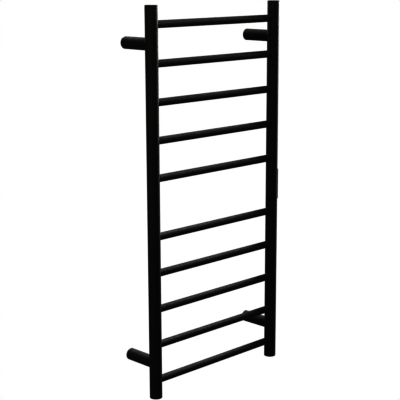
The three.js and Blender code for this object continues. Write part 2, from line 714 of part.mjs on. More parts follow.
const towelWarmer = new THREE.Group();
towelWarmer.add(
  leftUpright(),
  rightUpright(),
  ...bars(),
  standoff('top_left', -uprightX, standoffHeight),
  standoff('top_right', uprightX, standoffHeight),
  standoff('bottom_left', -uprightX, -standoffHeight),
  standoff('bottom_right', uprightX, wiredHeight, true),
  wiring(),
  controlModule(),
);

export default towelWarmer;
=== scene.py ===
import json
from math import ceil, copysign, cos, pi, radians, sin, sqrt, tan

import bmesh
import bpy
from mathutils import Matrix, Vector, noise


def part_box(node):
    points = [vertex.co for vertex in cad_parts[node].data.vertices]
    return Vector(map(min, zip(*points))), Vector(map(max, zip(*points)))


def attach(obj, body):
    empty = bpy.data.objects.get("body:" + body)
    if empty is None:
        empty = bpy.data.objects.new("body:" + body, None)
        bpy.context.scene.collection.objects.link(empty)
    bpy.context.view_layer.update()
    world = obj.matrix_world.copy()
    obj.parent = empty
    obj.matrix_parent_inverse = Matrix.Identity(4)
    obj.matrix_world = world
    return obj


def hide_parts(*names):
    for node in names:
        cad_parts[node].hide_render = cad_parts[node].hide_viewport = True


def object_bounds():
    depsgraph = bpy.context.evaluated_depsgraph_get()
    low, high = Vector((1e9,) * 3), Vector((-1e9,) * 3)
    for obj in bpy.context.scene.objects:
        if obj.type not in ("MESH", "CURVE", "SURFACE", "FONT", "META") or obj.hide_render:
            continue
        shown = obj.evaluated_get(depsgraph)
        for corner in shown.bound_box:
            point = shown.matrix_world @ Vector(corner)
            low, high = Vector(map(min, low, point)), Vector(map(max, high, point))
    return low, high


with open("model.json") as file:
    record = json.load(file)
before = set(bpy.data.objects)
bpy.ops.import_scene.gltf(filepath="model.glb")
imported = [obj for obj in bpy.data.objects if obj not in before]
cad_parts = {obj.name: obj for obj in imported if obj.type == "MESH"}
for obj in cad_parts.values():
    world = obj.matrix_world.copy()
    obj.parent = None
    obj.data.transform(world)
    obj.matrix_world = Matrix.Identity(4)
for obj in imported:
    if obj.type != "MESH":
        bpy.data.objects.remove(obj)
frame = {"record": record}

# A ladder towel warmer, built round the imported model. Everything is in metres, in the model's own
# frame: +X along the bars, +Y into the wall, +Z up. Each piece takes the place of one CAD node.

cad_low, cad_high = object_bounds()

MM = 0.001

# ---------- Sizes that the frame's boxes don't give ----------

UPRIGHT_WALL = 1.5 * MM
BAR_WALL = 1.2 * MM
SLEEVE_WALL = 2.0 * MM
LEAD_PASSAGE = 5.5 * MM  # radius of the supply lead's way through the wired stand-off
GLAND_COLLAR = 6.6 * MM
GAP = 0.3 * MM  # between pieces that touch
HAIR = 0.02 * MM  # between the parts of one piece
PAST = 1 * MM  # how far a cutter runs past what it cuts

ROUND_SIDES = 96  # facets round the uprights, bars and sleeves
SMALL_SIDES = 48  # facets round buttons, screws and the like
BAR_WELD = 1.1 * MM  # radius of the weld's fillet where a bar meets an upright
SLEEVE_WELD = 1.3 * MM
WELD_STEPS = 7
WELD_RIPPLE = 0.06  # share of the fillet's radius
WELD_RIPPLE_LENGTH = 2.2 * MM
SHARP_ANGLE = 32  # degrees that a sharp edge turns
EDGE = 0.2 * MM  # broken edge on cut tubes and turned parts
THREAD_STEPS = 8  # rings for each turn of a screw's thread
THREAD_DEPTH = 0.55  # share of the thread's pitch


# ---------- Mesh helpers ----------
# A bmesh given as bm is added to. Without one they start a new one.

def axis_place(origin, axis):
    """A matrix that takes local z to the named axis through origin. The other two axes follow in turn."""
    units = Matrix.Identity(3)
    columns = [units[("xyz".index(axis) + step) % 3] for step in (1, 2, 3)]
    return Matrix.Translation(origin) @ Matrix(columns).transposed().to_4x4()


def angles(sides):
    return [2 * pi * i / sides for i in range(sides)]


def polar(radius, angle, height, place):
    return place @ Vector((radius * cos(angle), radius * sin(angle), height))


def circle(radius, height, place, sides=SMALL_SIDES):
    """Points round place's z axis, or the single point on it."""
    return [polar(radius, a, height, place) for a in (angles(sides) if radius else [0])]


def hexagon(corner, height, place):
    """A hexagon with as many points as a circle, so that one can be joined to the other."""
    ring = []
    for a in angles(SMALL_SIDES):
        from_flat = a % (pi / 3) - pi / 6
        ring.append(polar(corner * cos(pi / 6) / cos(from_flat), a, height, place))
    return ring


def arc(centre, radius, start, end, steps):
    """Points along a circular arc between two angles in degrees."""
    points = []
    for i in range(steps + 1):
        a = radians(start + (end - start) * i / steps)
        points.append((centre[0] + radius * cos(a), centre[1] + radius * sin(a)))
    return points


def join_rings(bm, first, second):
    """Quads between two rings of equal count, or a fan where one ring is a single point."""
    for i in range(max(len(first), len(second))):
        j = i + 1
        corners = [first[i % len(first)], first[j % len(first)]]
        corners += [second[j % len(second)], second[i % len(second)]]
        corners = list(dict.fromkeys(corners))
        if len(corners) > 2:
            bm.faces.new(corners)


def skin(rings, closed=False, capped=False, bm=None):
    """A surface over rings of points. It goes back to the first if closed, or has flat ends if capped."""
    bm = bmesh.new() if bm is None else bm
    made = [[bm.verts.new(point) for point in ring] for ring in rings]
    for first, second in zip(made, made[1:]):
        join_rings(bm, first, second)
    if closed:
        join_rings(bm, made[-1], made[0])
    if capped:
        bm.faces.new(made[0])
        bm.faces.new(made[-1])
    return bm


def revolve(profile, place, sides=SMALL_SIDES, closed=False, bm=None):
    """Turns a profile of (radius, height) points about place's z axis."""
    return skin([circle(*point, place, sides) for point in profile], closed, bm=bm)


def rod(radius, start, end, place, sides=SMALL_SIDES, bm=None):
    return revolve([(0, start), (radius, start), (radius, end), (0, end)], place, sides, bm=bm)


def drill(hole, end, mouth, surface, flare, place, bm=None):
    """A round hole from its end to a surface, where it flares to the mouth's radius."""
    out = copysign(1, surface - end)
    profile = [(0, end), (hole, end), (hole, surface - out * flare), (mouth, surface)]
    beyond = surface + out * PAST
    return revolve(profile + [(mouth, beyond), (0, beyond)], place, bm=bm)


def soft_block(low, high, edge, steps=2, bm=None):
    """A rectangular block with rounded edges."""
    bm = bmesh.new() if bm is None else bm
    place = Matrix.Translation((low + high) / 2) @ Matrix.Diagonal((*(high - low), 1))
    corners = bmesh.ops.create_cube(bm, size=1, matrix=place)["verts"]
    edges = list(dict.fromkeys(side for corner in corners for side in corner.link_edges))
    bmesh.ops.bevel(bm, geom=edges, offset=edge, segments=steps, profile=0.5, affect="EDGES")
    return bm


def thread_rings(radius, pitch, low, high, place):
    """Rings of a helical thread from one height to another, which fades out at both ends."""
    rings = []
    steps = ceil((high - low) / pitch * THREAD_STEPS)
    for step in range(steps + 1):
        height = low + (high - low) * step / steps
        depth = THREAD_DEPTH * pitch * min(1, (height - low) / pitch, (high - height) / pitch)
        ring = []
        for a in angles(SMALL_SIDES):
            turn = (height / pitch - a / (2 * pi)) % 1
            ring.append(polar(radius - depth * abs(2 * turn - 1), a, height, place))
        rings.append(ring)
    return rings


def mark_sharp(bm):
    """Smooth shading, broken at the sharp edges."""
    for face in bm.faces:
        face.smooth = True
    for edge in bm.edges:
        if len(edge.link_faces) == 2:
            edge.smooth = edge.calc_face_angle(0) < radians(SHARP_ANGLE)


def new_piece(name, bm, material=None):
    """An object from a bmesh, with its faces pointing out."""
    bmesh.ops.recalc_face_normals(bm, faces=bm.faces)
    mark_sharp(bm)
    mesh = bpy.data.meshes.new(name)
    bm.to_mesh(mesh)
    bm.free()
    if material:
        mesh.materials.append(material)
    piece = bpy.data.objects.new(name, mesh)
    bpy.context.scene.collection.objects.link(piece)
    return piece


def stand_in(node, shape, bm):
    """A piece in place of a CAD node, in the node's own body, with the finish for the node's material
    slot.
    """
    slot = SLOT_OF[node]
    piece = new_piece(f"{node}_{shape}", bm, FINISHES[slot])
    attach(piece, BODY_OF[node])
    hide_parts(node)
    return piece


def merge(piece, extra):
    """Adds another piece's shape to a piece, in the other's own material."""
    materials = piece.data.materials
    material = extra.data.materials[0]
    if material.name not in materials:
        materials.append(material)
    bm = bmesh.new()
    bm.from_mesh(piece.data)
    count = len(bm.faces)
    bm.from_mesh(extra.data)
    bm.faces.ensure_lookup_table()
    for face in bm.faces[count:]:
        face.material_index = materials.find(material.name)
    bm.to_mesh(piece.data)
    bm.free()
    bpy.data.objects.remove(extra)


def cut_away(piece, shape, operation="DIFFERENCE"):
    """Cuts a closed shape out of a piece."""
    cutter = new_piece("cutter", shape)
    cut = piece.modifiers.new("cut", "BOOLEAN")
    cut.operation = operation
    cut.solver = "EXACT"
    cut.object = cutter
    graph = bpy.context.evaluated_depsgraph_get()
    mesh = bpy.data.meshes.new_from_object(piece.evaluated_get(graph))
    piece.modifiers.clear()
    bpy.data.objects.remove(cutter)
    bm = bmesh.new()
    bm.from_mesh(mesh)
    bmesh.ops.dissolve_degenerate(bm, dist=0.001 * MM, edges=bm.edges)
    mark_sharp(bm)
    bm.to_mesh(mesh)
    bm.free()
    piece.data = mesh


def join_on(piece, shape):
    """Joins a closed shape to a piece that it overlaps."""
    cut_away(piece, shape, "UNION")


def round_normals(mesh, centre, axis):
    """Gives the walls of a tube along the axis the normals of a true cylinder."""
    across = Vector([float(name != axis) for name in "xyz"])
    least = 0.99  # how nearly radial a wall's normals are
    normals = []
    for polygon in mesh.polygons:
        for index in polygon.vertices:
            radial = ((mesh.vertices[index].co - centre) * across).normalized()
            facing = polygon.normal.dot(radial)
            is_wall = abs(facing) > least
            normals.append(radial * copysign(1, facing) if is_wall else polygon.normal.copy())
    mesh.normals_split_custom_set(normals)


# ---------- Materials ----------

class Recipe:
    """A new node material with its shader, and short ways to add the usual nodes."""

    def __init__(self, name):
        self.material = bpy.data.materials.new(name)
        self.material.use_nodes = True
        self.tree = self.material.node_tree
        self.shader = self.tree.nodes["Principled BSDF"]
        self.coordinates = self.add("ShaderNodeTexCoord").outputs["Object"]

    def add(self, kind, inputs=None, **settings):
        node = self.tree.nodes.new(kind)
        for key, value in settings.items():
            setattr(node, key, value)
        for key, value in (inputs or {}).items():
            self.feed(value, node.inputs[key])
        return node

    def feed(self, value, socket):
        """A number, a colour or another node's output into a socket."""
        if isinstance(value, bpy.types.NodeSocket):
            self.tree.links.new(value, socket)
        elif isinstance(value, (tuple, list)):
            socket.default_value = (*value, 1)
        else:
            socket.default_value = value

    def set(self, **values):
        """Values for the shader's own sockets. Base_Color means the socket Base Color."""
        for key, value in values.items():
            self.feed(value, self.shader.inputs[key.replace("_", " ")])

    def noise(self, size, detail=2.0, roughness=0.5):
        """Noise whose features are about size metres across."""
        inputs = {"Vector": self.coordinates, "Scale": 1 / size, "Detail": detail, "Roughness": roughness}
        return self.add("ShaderNodeTexNoise", inputs).outputs["Fac"]

    def patches(self, size, detail, low=0, high=1):
        """Patches that go from low to high, as the noise goes over its usual range of 0.3 to 0.7."""
        inputs = {"Value": self.noise(size, detail), "From Min": 0.3, "From Max": 0.7}
        inputs.update({"To Min": low, "To Max": high})
        return self.add("ShaderNodeMapRange", inputs).outputs["Result"]

    def tones(self, size, detail, first, second):
        """Patches that go from one colour to another."""
        node = self.add("ShaderNodeMix", {0: self.patches(size, detail)}, data_type="RGBA")
        for value, socket in zip((first, second), [put for put in node.inputs if put.type == "RGBA"]):
            self.feed(value, socket)
        return next(socket for socket in node.outputs if socket.type == "RGBA")

    def combine(self, operation, first, second):
        return self.add("ShaderNodeMath", {0: first, 1: second}, operation=operation).outputs["Value"]

    def bump(self, height, depth):
        """Relief of the given depth in metres where the height goes from 0 to 1."""
        node = self.add("ShaderNodeBump", {"Height": height, "Distance": depth})
        self.feed(node.outputs["Normal"], self.shader.inputs["Normal"])


def powder_coat(name, dark, pale, specular):
    """Matte powder coat: fine orange peel, a finer grain, and slow changes in sheen."""
    recipe = Recipe(name)
    tone = recipe.tones(45 * MM, 3, dark, pale)
    sheen = recipe.patches(12 * MM, 3, 0.64, 0.74)
    recipe.set(Base_Color=tone, Roughness=sheen, Specular_IOR_Level=specular)
    peel = recipe.combine("MULTIPLY", recipe.noise(1.3 * MM, 1), 0.75)
    grain = recipe.combine("MULTIPLY", recipe.noise(0.28 * MM, 2), 0.25)
    recipe.bump(recipe.combine("ADD", peel, grain), 0.03 * MM)
    return recipe.material


def moulded_plastic(name, colour, roughness, grain_size=0.35 * MM, grain_depth=0.012 * MM):
    """Moulded plastic with a spark-eroded grain and a slight change of tone."""
    recipe = Recipe(name)
    pale = [min(1, value * 1.35 + 0.002) for value in colour]
    tone = recipe.tones(9 * MM, 3, colour, pale)
    sheen = recipe.patches(4 * MM, 3, roughness - 0.05, roughness + 0.07)
    recipe.set(Base_Color=tone, Roughness=sheen)
    recipe.bump(recipe.noise(grain_size, 2), grain_depth)
    return recipe.material


def metal(name, colour, roughness):
    """Plated or turned metal with fine marks and patchy plating."""
    recipe = Recipe(name)
    dull = [value * 0.7 for value in colour]
    tone = recipe.tones(3 * MM, 4, dull, colour)
    sheen = recipe.patches(1.5 * MM, 4, roughness - 0.08, roughness + 0.12)
    recipe.set(Base_Color=tone, Roughness=sheen, Metallic=1.0)
    recipe.bump(recipe.noise(0.15 * MM, 4, 0.7), 0.006 * MM)
    return recipe.material


def rubber(name, colour, roughness=0.75):
    """Rubber or silicone with a dull bloom and a fine matte grain."""
    return moulded_plastic(name, colour, roughness, 0.2 * MM, 0.01 * MM)


def clear_light(name, colour):
    """A frosted light pipe, unlit."""
    recipe = Recipe(name)
    pale = [min(1, value * 1.3) for value in colour]
    tone = recipe.tones(0.8 * MM, 2, colour, pale)
    recipe.set(Base_Color=tone, Roughness=recipe.patches(0.5 * MM, 2, 0.25, 0.4))
    recipe.bump(recipe.noise(0.25 * MM, 2), 0.006 * MM)
    return recipe.material


FINISHES = {
    "powder_coat": powder_coat("powder_coat", (0.0068, 0.0066, 0.0062), (0.0098, 0.0095, 0.0089), 0.25),
    "black_steel": metal("black_steel", (0.05, 0.05, 0.053), 0.38),
    "zinc_steel": metal("zinc_steel", (0.55, 0.56, 0.58), 0.35),
    "brass": metal("brass", (0.69, 0.55, 0.27), 0.35),
    "gloss_plastic": moulded_plastic("fascia_plastic", (0.006, 0.006, 0.006), 0.32),
    "button_plastic": moulded_plastic("button_plastic", (0.011, 0.011, 0.011), 0.5),
    "light_plastic": moulded_plastic("natural_plastic", (0.75, 0.72, 0.66), 0.5),
    "housing_plastic": moulded_plastic("housing_plastic", (0.03, 0.03, 0.03), 0.6),
    "circuit_board": moulded_plastic("circuit_board", (0.05, 0.2, 0.08), 0.4),
    "clear_plastic": clear_light("light_pipe", (0.20, 0.035, 0.02)),
    "silicone": rubber("silicone", (0.5, 0.12, 0.07), 0.55),
    "grey_cable": rubber("grey_cable", (0.2, 0.21, 0.21), 0.6),
    "earth_cable": rubber("earth_cable", (0.35, 0.5, 0.1), 0.6),
    "brown_core": rubber("brown_core", (0.12, 0.045, 0.02), 0.6),
    "blue_core": rubber("blue_core", (0.02, 0.09, 0.4), 0.6),
    "rubber": rubber("black_rubber", (0.02, 0.02, 0.02)),
}
MARKS = moulded_plastic("printed_marks", (0.42, 0.42, 0.41), 0.55)


# ---------- Places from the frame ----------

def middle(node):
    low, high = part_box(node)
    return (low + high) / 2


def half_size(node):
    low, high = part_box(node)
    return (high - low) / 2


SLOT_OF = {part["node"]: part["material_slot"] for part in frame["record"]["subparts"]}
BODY_OF = {node: body for body, nodes in frame["record"]["behaviour"]["bodies"].items() for node in nodes}
BARS = [f"bar_{number:02d}" for number in range(1, 11)]
SIDES = {"left": 1, "right": -1}  # the x direction from each upright to the bars
POST_X = {side: middle(f"{side}_top_cap").x for side in SIDES}
POST_Y = middle("left_upright").y
POST_RADIUS = half_size("left_upright").x
BAR_RADIUS = half_size("bar_01").z
SLEEVE_RADIUS = half_size("top_left_standoff").x
WIRED = "bottom_right"  # the stand-off that the supply lead comes through


def on_post(side, height, axis):
    """axis_place on an upright's axis at a height."""
    return axis_place(Vector((POST_X[side], POST_Y, height)), axis)


# ---------- Uprights and end caps ----------

def upright(side):
    """A tube with a hole for each bar, and on the right a slot for the control module."""
    node = f"{side}_upright"
    low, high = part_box(node)
    bore, outside = POST_RADIUS - UPRIGHT_WALL, POST_RADIUS - EDGE
    profile = [(bore, low.z), (outside, low.z), (POST_RADIUS, low.z + EDGE)]
    profile += [(POST_RADIUS, high.z - EDGE), (outside, high.z), (bore, high.z)]
    piece = stand_in(node, "tube", revolve(profile, on_post(side, 0, "z"), ROUND_SIDES, closed=True))
    holes = bmesh.new()
    reach = POST_RADIUS + 2 * PAST
    for bar_node in BARS:
        place = on_post(side, middle(bar_node).z, "x")
        rod(BAR_RADIUS + GAP, 0, SIDES[side] * reach, place, ROUND_SIDES, holes)
    cut_away(piece, holes)
    if side == "right":
        cut_away(piece, slot_cutter())
        lead_height = middle(f"{WIRED}_standoff").z
        cut_away(piece, rod(LEAD_PASSAGE, 0, reach, on_post(side, lead_height, "y")))
    round_normals(piece.data, Vector((POST_X[side], POST_Y, 0)), "z")


def slot_cutter():
    """The opening behind the control fascia."""
    half = half_size("control_gasket")
    size = Matrix.Diagonal((POST_RADIUS, 2 * (half.y + GAP), 2 * (half.z + GAP), 1))
    bm = bmesh.new()
    bmesh.ops.create_cube(bm, size=1, matrix=Matrix.Translation(middle("control_gasket")) @ size)
    return bm


def end_cap(side, end):
    """A pressed-in cap: a disc with a rounded rim and a plug inside the tube."""
    node = f"{side}_{end}_cap"
    low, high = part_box(node)
    up, outer_end = (1, high.z) if end == "top" else (-1, low.z)
    length, thickness, rim = high.z - low.z, 2 * MM, 0.45 * MM
    plug = POST_RADIUS - UPRIGHT_WALL - GAP
    profile = [(0, -length), (plug - rim, -length), (plug, rim - length), (plug, -thickness)]
    profile += [(POST_RADIUS - EDGE, -thickness), (POST_RADIUS, EDGE - thickness)]
    profile += arc((POST_RADIUS - rim, -rim), rim, 0, 90, 6) + [(0, 0)]
    place = on_post(side, outer_end, "z") @ Matrix.Scale(up, 4, (0, 0, 1))
    piece = stand_in(node, "disc", revolve(profile, place, ROUND_SIDES))
    if (side, end) == ("right", "bottom"):
        hole, floor = 2.3 * MM, -3 * MM  # a blind hole for the earth screw
        cut_away(piece, rod(hole, floor, -length - PAST, place))


# ---------- Bars and stand-off sleeves, with welded fillets ----------

def weld_rings(radius, weld, seed):
    """Rings from a pipe's wall down a rolling-ball fillet to the post.

    Each point is (out along the pipe from the post's axis, across the post, up the post).
    """
    rings = []
    for step in range(WELD_STEPS + 1):
        ring = []
        for a in angles(ROUND_SIDES):
            across = (radius + weld) * sin(a)
            out = sqrt((POST_RADIUS + weld) ** 2 - across ** 2)
            centre = Vector((out, across, (radius + weld) * cos(a)))
            to_pipe = Vector((0, -sin(a), -cos(a)))
            to_post = Vector((-out, -across, 0)).normalized()
            share = step / WELD_STEPS
            swell = WELD_RIPPLE * sin(pi * share)
            place = Vector((seed, radius * sin(a), radius * cos(a))) / WELD_RIPPLE_LENGTH
            depth = weld * (1 - swell * noise.noise(place))
            ring.append(centre + to_pipe.slerp(to_post, share) * depth)
        rings.append(ring)
    return rings


def sunk(ring):
    """A ring on the post's wall, taken into the wall by the gap."""
    return [point - Vector((point.x, point.y, 0)).normalized() * GAP for point in ring]


def saddle_ring(radius, post_radius):
    """A ring of a pipe's radius where it meets a post of the given radius."""
    ring = []
    for a in angles(ROUND_SIDES):
        across = radius * sin(a)
        ring.append(Vector((sqrt(post_radius ** 2 - across ** 2), across, radius * cos(a))))
    return ring


def flat_ring(radius, out):
    return [Vector((out, radius * sin(a), radius * cos(a))) for a in angles(ROUND_SIDES)]


def bar(node):
    """A tube between the uprights, with a welded fillet at each end."""
    low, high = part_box(node)
    height = middle(node).z
    halves = []
    for side, inward in SIDES.items():
        end = abs((low.x if side == "left" else high.x) - POST_X[side])
        weld = weld_rings(BAR_RADIUS, BAR_WELD, height + inward)
        rings = [flat_ring(BAR_RADIUS - BAR_WALL, end), flat_ring(BAR_RADIUS, end)]
        rings += [saddle_ring(BAR_RADIUS, POST_RADIUS - UPRIGHT_WALL / 2), sunk(weld[-1])] + weld[::-1]
        origin = Vector((POST_X[side], POST_Y, height))
        halves.append([[origin + Vector((inward * p.x, p.y, p.z)) for p in ring] for ring in rings])
    stand_in(node, "tube", skin(halves[0] + halves[1][::-1], closed=True))


def sleeve(corner, side):
    """A stand-off's tube, from its weld on the upright to the wall base."""
    node = f"{corner}_standoff"
    wall_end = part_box(node)[1].y - POST_Y
    inner = SLEEVE_RADIUS - SLEEVE_WALL
    weld = weld_rings(SLEEVE_RADIUS, SLEEVE_WELD, middle(node).z + middle(node).x)
    rings = [flat_ring(inner, wall_end), flat_ring(SLEEVE_RADIUS - EDGE, wall_end)]
    rings += [flat_ring(SLEEVE_RADIUS, wall_end - EDGE)] + weld
    rings += [sunk(weld[-1]), saddle_ring(inner, POST_RADIUS - GAP)]
    origin = Vector((POST_X[side], POST_Y, middle(node).z))
    placed = [[origin + Vector((p.y, p.x, p.z)) for p in ring] for ring in rings]
    piece = stand_in(node, "sleeve", skin(placed, closed=True))
    cut_away(piece, grub_cutter(corner, middle(node).z))
    round_normals(piece.data, origin, "y")


def grub_cutter(corner, top):
    """A hole from below round the grub screw, up to the given height."""
    screw = f"{corner}_grub_screw"
    centre = middle(screw)
    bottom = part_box(screw)[0].z - 2 * PAST
    return rod(half_size(screw).x + GAP, bottom, top, axis_place(Vector((centre.x, centre.y, 0)), "z"))


# ---------- Wall bases and grub screws ----------

def wall_base(corner):
    """The turned base that is screwed to the wall: a disc, and a boss inside the sleeve."""
    node = f"{corner}_wall_base"
    low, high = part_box(node)
    centre, depth, disc = middle(node), high.y - low.y, 2.5 * MM
    boss = SLEEVE_RADIUS - SLEEVE_WALL - GAP
    profile = [(SLEEVE_RADIUS - EDGE, 0), (SLEEVE_RADIUS, -EDGE), (SLEEVE_RADIUS, EDGE - disc)]
    profile += [(SLEEVE_RADIUS - EDGE, -disc), (boss, -disc), (boss, EDGE - depth), (boss - EDGE, -depth)]
    if corner == WIRED:
        collar, seat = GLAND_COLLAR + GAP, -2.3 * MM
        profile += [(LEAD_PASSAGE, -depth), (LEAD_PASSAGE, seat), (collar, seat), (collar, 0)]
    else:
        hole, sink, sink_depth = 2.6 * MM, 5 * MM, 2.4 * MM
        profile += [(sink, -depth), (hole, sink_depth - depth), (hole, 0)]
    place = axis_place(Vector((centre.x, high.y, centre.z)), "y")
    piece = stand_in(node, "turned", revolve(profile, place, ROUND_SIDES, closed=True))
    cut_away(piece, grub_cutter(corner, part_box(f"{corner}_grub_screw")[1].z + GAP))
    if corner == WIRED:
        cut_away(piece, side_screw_cutter(place, depth))


def side_screw_cutter(place, depth):
    """Two countersunk screw holes beside the lead's way through the wired base."""
    hole, sink, sink_depth, offset = 1.8 * MM, 3.2 * MM, 1.4 * MM, 9 * MM
    bm = bmesh.new()
    for side in (-offset, offset):
        drill(hole, PAST, sink, -depth, sink_depth, place @ Matrix.Translation((0, side, 0)), bm)
    return bm


def grub_screw(corner):
    """A headless threaded screw with a hexagon socket in its lower end."""
    node = f"{corner}_grub_screw"
    radius, chamfer, pitch = half_size(node).x, 0.4 * MM, 0.8 * MM
    socket, socket_top, cone = 1.45 * MM, 3 * MM, 0.5 * MM
    top = half_size(node).z
    place = axis_place(middle(node), "z")
    rings = [circle(0, socket_top + cone - top, place), hexagon(socket, socket_top - top, place)]
    rings += [hexagon(socket, -top, place), circle(radius - chamfer, -top, place)]
    rings += thread_rings(radius, pitch, chamfer - top, top - chamfer, place)
    rings += [circle(radius - chamfer, top, place), circle(0, top, place)]
    stand_in(node, "hex", skin(rings))


# ---------- Control module ----------

BUTTONS = ("power", "timer", "heat")
LIGHTS = ("power_light", "heat_light_high", "heat_light_mid", "heat_light_low")
SCREWS = ("upper_fascia_screw", "lower_fascia_screw")
BUTTON_FLANGE = 0.8 * MM  # how far a button's hidden flange stands out round its cap
SCREW_SHANK = 1.25 * MM
SCREW_HEAD = 1.5 * MM  # depth of a fascia screw's countersunk head
MARK_HEIGHT = 0.05  # in millimetres, as a mark's strokes are
BOARD_THICKNESS = 1.2 * MM
AXIS_X = POST_X["right"]


def module_place(node):
    """The right upright's axis at the node's height, with local z outwards along x."""
    return on_post("right", middle(node).z, "x")


def plate_ring(half, inset, corner, x, height):
    """A rounded rectangle across x round a height, inside the half size by the inset."""
    ring = []
    steps = 8
    for side_y, side_z, start in ((1, -1, -90), (1, 1, 0), (-1, 1, 90), (-1, -1, 180)):
        centre = (side_y * (half.y - inset - corner), side_z * (half.z - inset - corner))
        for y, z in arc(centre, corner, start, start + 90, steps):
            ring.append(Vector((x, POST_Y + y, height + z)))
    return ring


def fascia():
    """The cover plate: rounded edges, a back that follows the tube, and holes with soft rims."""
    low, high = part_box("control_fascia")
    half, height = half_size("control_fascia"), middle("control_fascia").z
    corner, edge, spare = 3 * MM, 1 * MM, 1.5 * MM  # the tube's cut takes the spare away
    rings = [plate_ring(half, 0, corner, low.x - spare, height)]
    for out, rise in arc((0, 0), edge, 0, 90, 6):
        inset = edge - out
        rings.append(plate_ring(half, inset, corner - inset, high.x - edge + rise, height))
    piece = stand_in("control_fascia", "plate", skin(rings, capped=True))
    length = half.z + 5 * PAST
    cut_away(piece, rod(POST_RADIUS + GAP, -length, length, on_post("right", height, "z"), ROUND_SIDES))
    holes = bmesh.new()
    back, front = low.x - spare - AXIS_X, high.x - AXIS_X
    widths = {f"{name}_button": half_size(f"{name}_button").y - BUTTON_FLANGE for name in BUTTONS}
    widths.update((name, half_size(name).y) for name in LIGHTS)
    for node, width in widths.items():
        hole = width + GAP
        drill(hole, back, hole + EDGE, front, EDGE, module_place(node), holes)
    for name in SCREWS:
        head = half_size(name).y + GAP
        drill(SCREW_SHANK + GAP, back, head, front, SCREW_HEAD, module_place(name), holes)
    cut_away(piece, holes)


def strokes(name):
    """A button's mark as strokes: (y, z) points in millimetres, a width, and whether they close."""
    if name == "power":
        return [(arc((0, -0.1), 1.25, 130, 410, 28), 0.3, False), ([(0, 0.1), (0, 1.6)], 0.3, False)]
    if name == "timer":
        sides = 32
        dial = arc((0, 0), 1.5, 0, 360 - 360 / sides, sides - 1)
        hands = [(0, 0.95), (0, 0), (0.7, -0.45)]
        return [(dial, 0.28, True), (hands, 0.26, False)]
    waves, steps = [], 20
    for offset in (-1.1, 0, 1.1):
        shares = [i / steps for i in range(steps + 1)]
        wave = [(offset + 0.28 * sin(2 * pi * share), 3 * (share - 0.5)) for share in shares]
        waves.append((wave, 0.26, False))
    return waves


def ribbon(points, width, closed, place, bm):
    """A flat raised line through (y, z) points, on the face at place."""
    rings = []
    for i, point in enumerate(points):
        before = points[i - 1] if closed or i > 0 else point
        after = points[(i + 1) % len(points)] if closed or i < len(points) - 1 else point
        along = Vector((after[0] - before[0], after[1] - before[1])).normalized()
        side = Vector((-along.y, along.x)) * width / 2
        ring = []
        for level, sign in ((0, -1), (0, 1), (MARK_HEIGHT, 1), (MARK_HEIGHT, -1)):
            ring.append(place @ Vector((level, point[0] + sign * side.x, point[1] + sign * side.y)))
        rings.append(ring)
    skin(rings, closed, not closed, bm)


def push_button(name):
    """A round cap with a soft rim and a printed mark, on its flange and stem."""
    node = f"{name}_button"
    low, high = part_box(node)
    top, bottom = high.x - AXIS_X, low.x - AXIS_X
    flange = half_size(node).y
    cap, stem, rim, dish, face = flange - BUTTON_FLANGE, 1.5 * MM, 0.5 * MM, 0.12 * MM, 2.4 * MM
    flange_top, flange_bottom = 15 * MM, 14 * MM  # from the upright's axis
    profile = [(0, bottom), (stem - EDGE, bottom), (stem, bottom + EDGE), (stem, flange_bottom)]
    profile += [(flange, flange_bottom), (flange, flange_top), (cap, flange_top)]
    profile += arc((cap - rim, top - rim), rim, 0, 100, 7) + [(face, top - dish), (0, top - dish)]
    piece = stand_in(node, "cap", revolve(profile, module_place(node)))
    marks = bmesh.new()
    origin = Vector((high.x - dish - HAIR / 2, POST_Y, middle(node).z))
    for points, width, closed in strokes(name):
        ribbon(points, width, closed, Matrix.Translation(origin) @ Matrix.Scale(MM, 4), marks)
    merge(piece, new_piece("marks", marks, MARKS))


def indicator(node):
    """A light pipe with a domed end."""
    low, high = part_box(node)
    radius, length, dome = half_size(node).y, high.x - low.x, 0.25 * MM
    profile = [(0, 0), (radius, 0)]
    profile += [(radius * out, length + dome * (up - 1)) for out, up in arc((0, 0), 1, 0, 75, 5)]
    place = axis_place(Vector((low.x, POST_Y, middle(node).z)), "x")
    stand_in(node, "pipe", revolve(profile + [(0, length)], place))


def cross_cutter(place):
    """A four-armed recess down from place's origin, which narrows towards its floor."""
    arm, half, floor, above = 1.4 * MM, 0.3 * MM, 0.8 * MM, 0.3 * MM
    floor_scale, mouth_scale, turned = 0.7, 1.1, 20
    rings = []
    for level, scale in ((-floor, floor_scale), (above, mouth_scale)):
        ring = []
        for quarter in range(4):
            turn = place @ Matrix.Rotation(radians(turned - 90 * quarter), 4, "Z")
            for x, y in ((half, half), (arm * scale, half), (arm * scale, -half)):
                ring.append(turn @ Vector((x, y, level)))
        rings.append(ring)
    return skin(rings, capped=True)


def screw(node, shape, head, radius, pitch, axis):
    """A threaded screw with a cross recess. head is its head's profile, from the shank to the middle."""
    low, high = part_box(node)
    along = "xyz".index(axis)
    origin = middle(node)
    origin[along] = high[along]
    length = high[along] - low[along]
    place = axis_place(origin, axis)
    rings = [circle(0, -length, place), circle(radius - EDGE, -length, place)]
    rings += thread_rings(radius, pitch, EDGE - length, head[0][1], place)
    rings += [circle(*point, place) for point in head]
    piece = stand_in(node, shape, skin(rings))
    cut_away(piece, cross_cutter(place))


def fascia_screw(node):
    """A countersunk screw."""
    edge = half_size(node).y
    rim, soft = 0.15 * MM, 0.1 * MM
    head = [(SCREW_SHANK, -SCREW_HEAD), (edge, -rim), (edge - soft, 0), (0, 0)]
    screw(node, "cross", head, SCREW_SHANK, 0.9 * MM, "x")


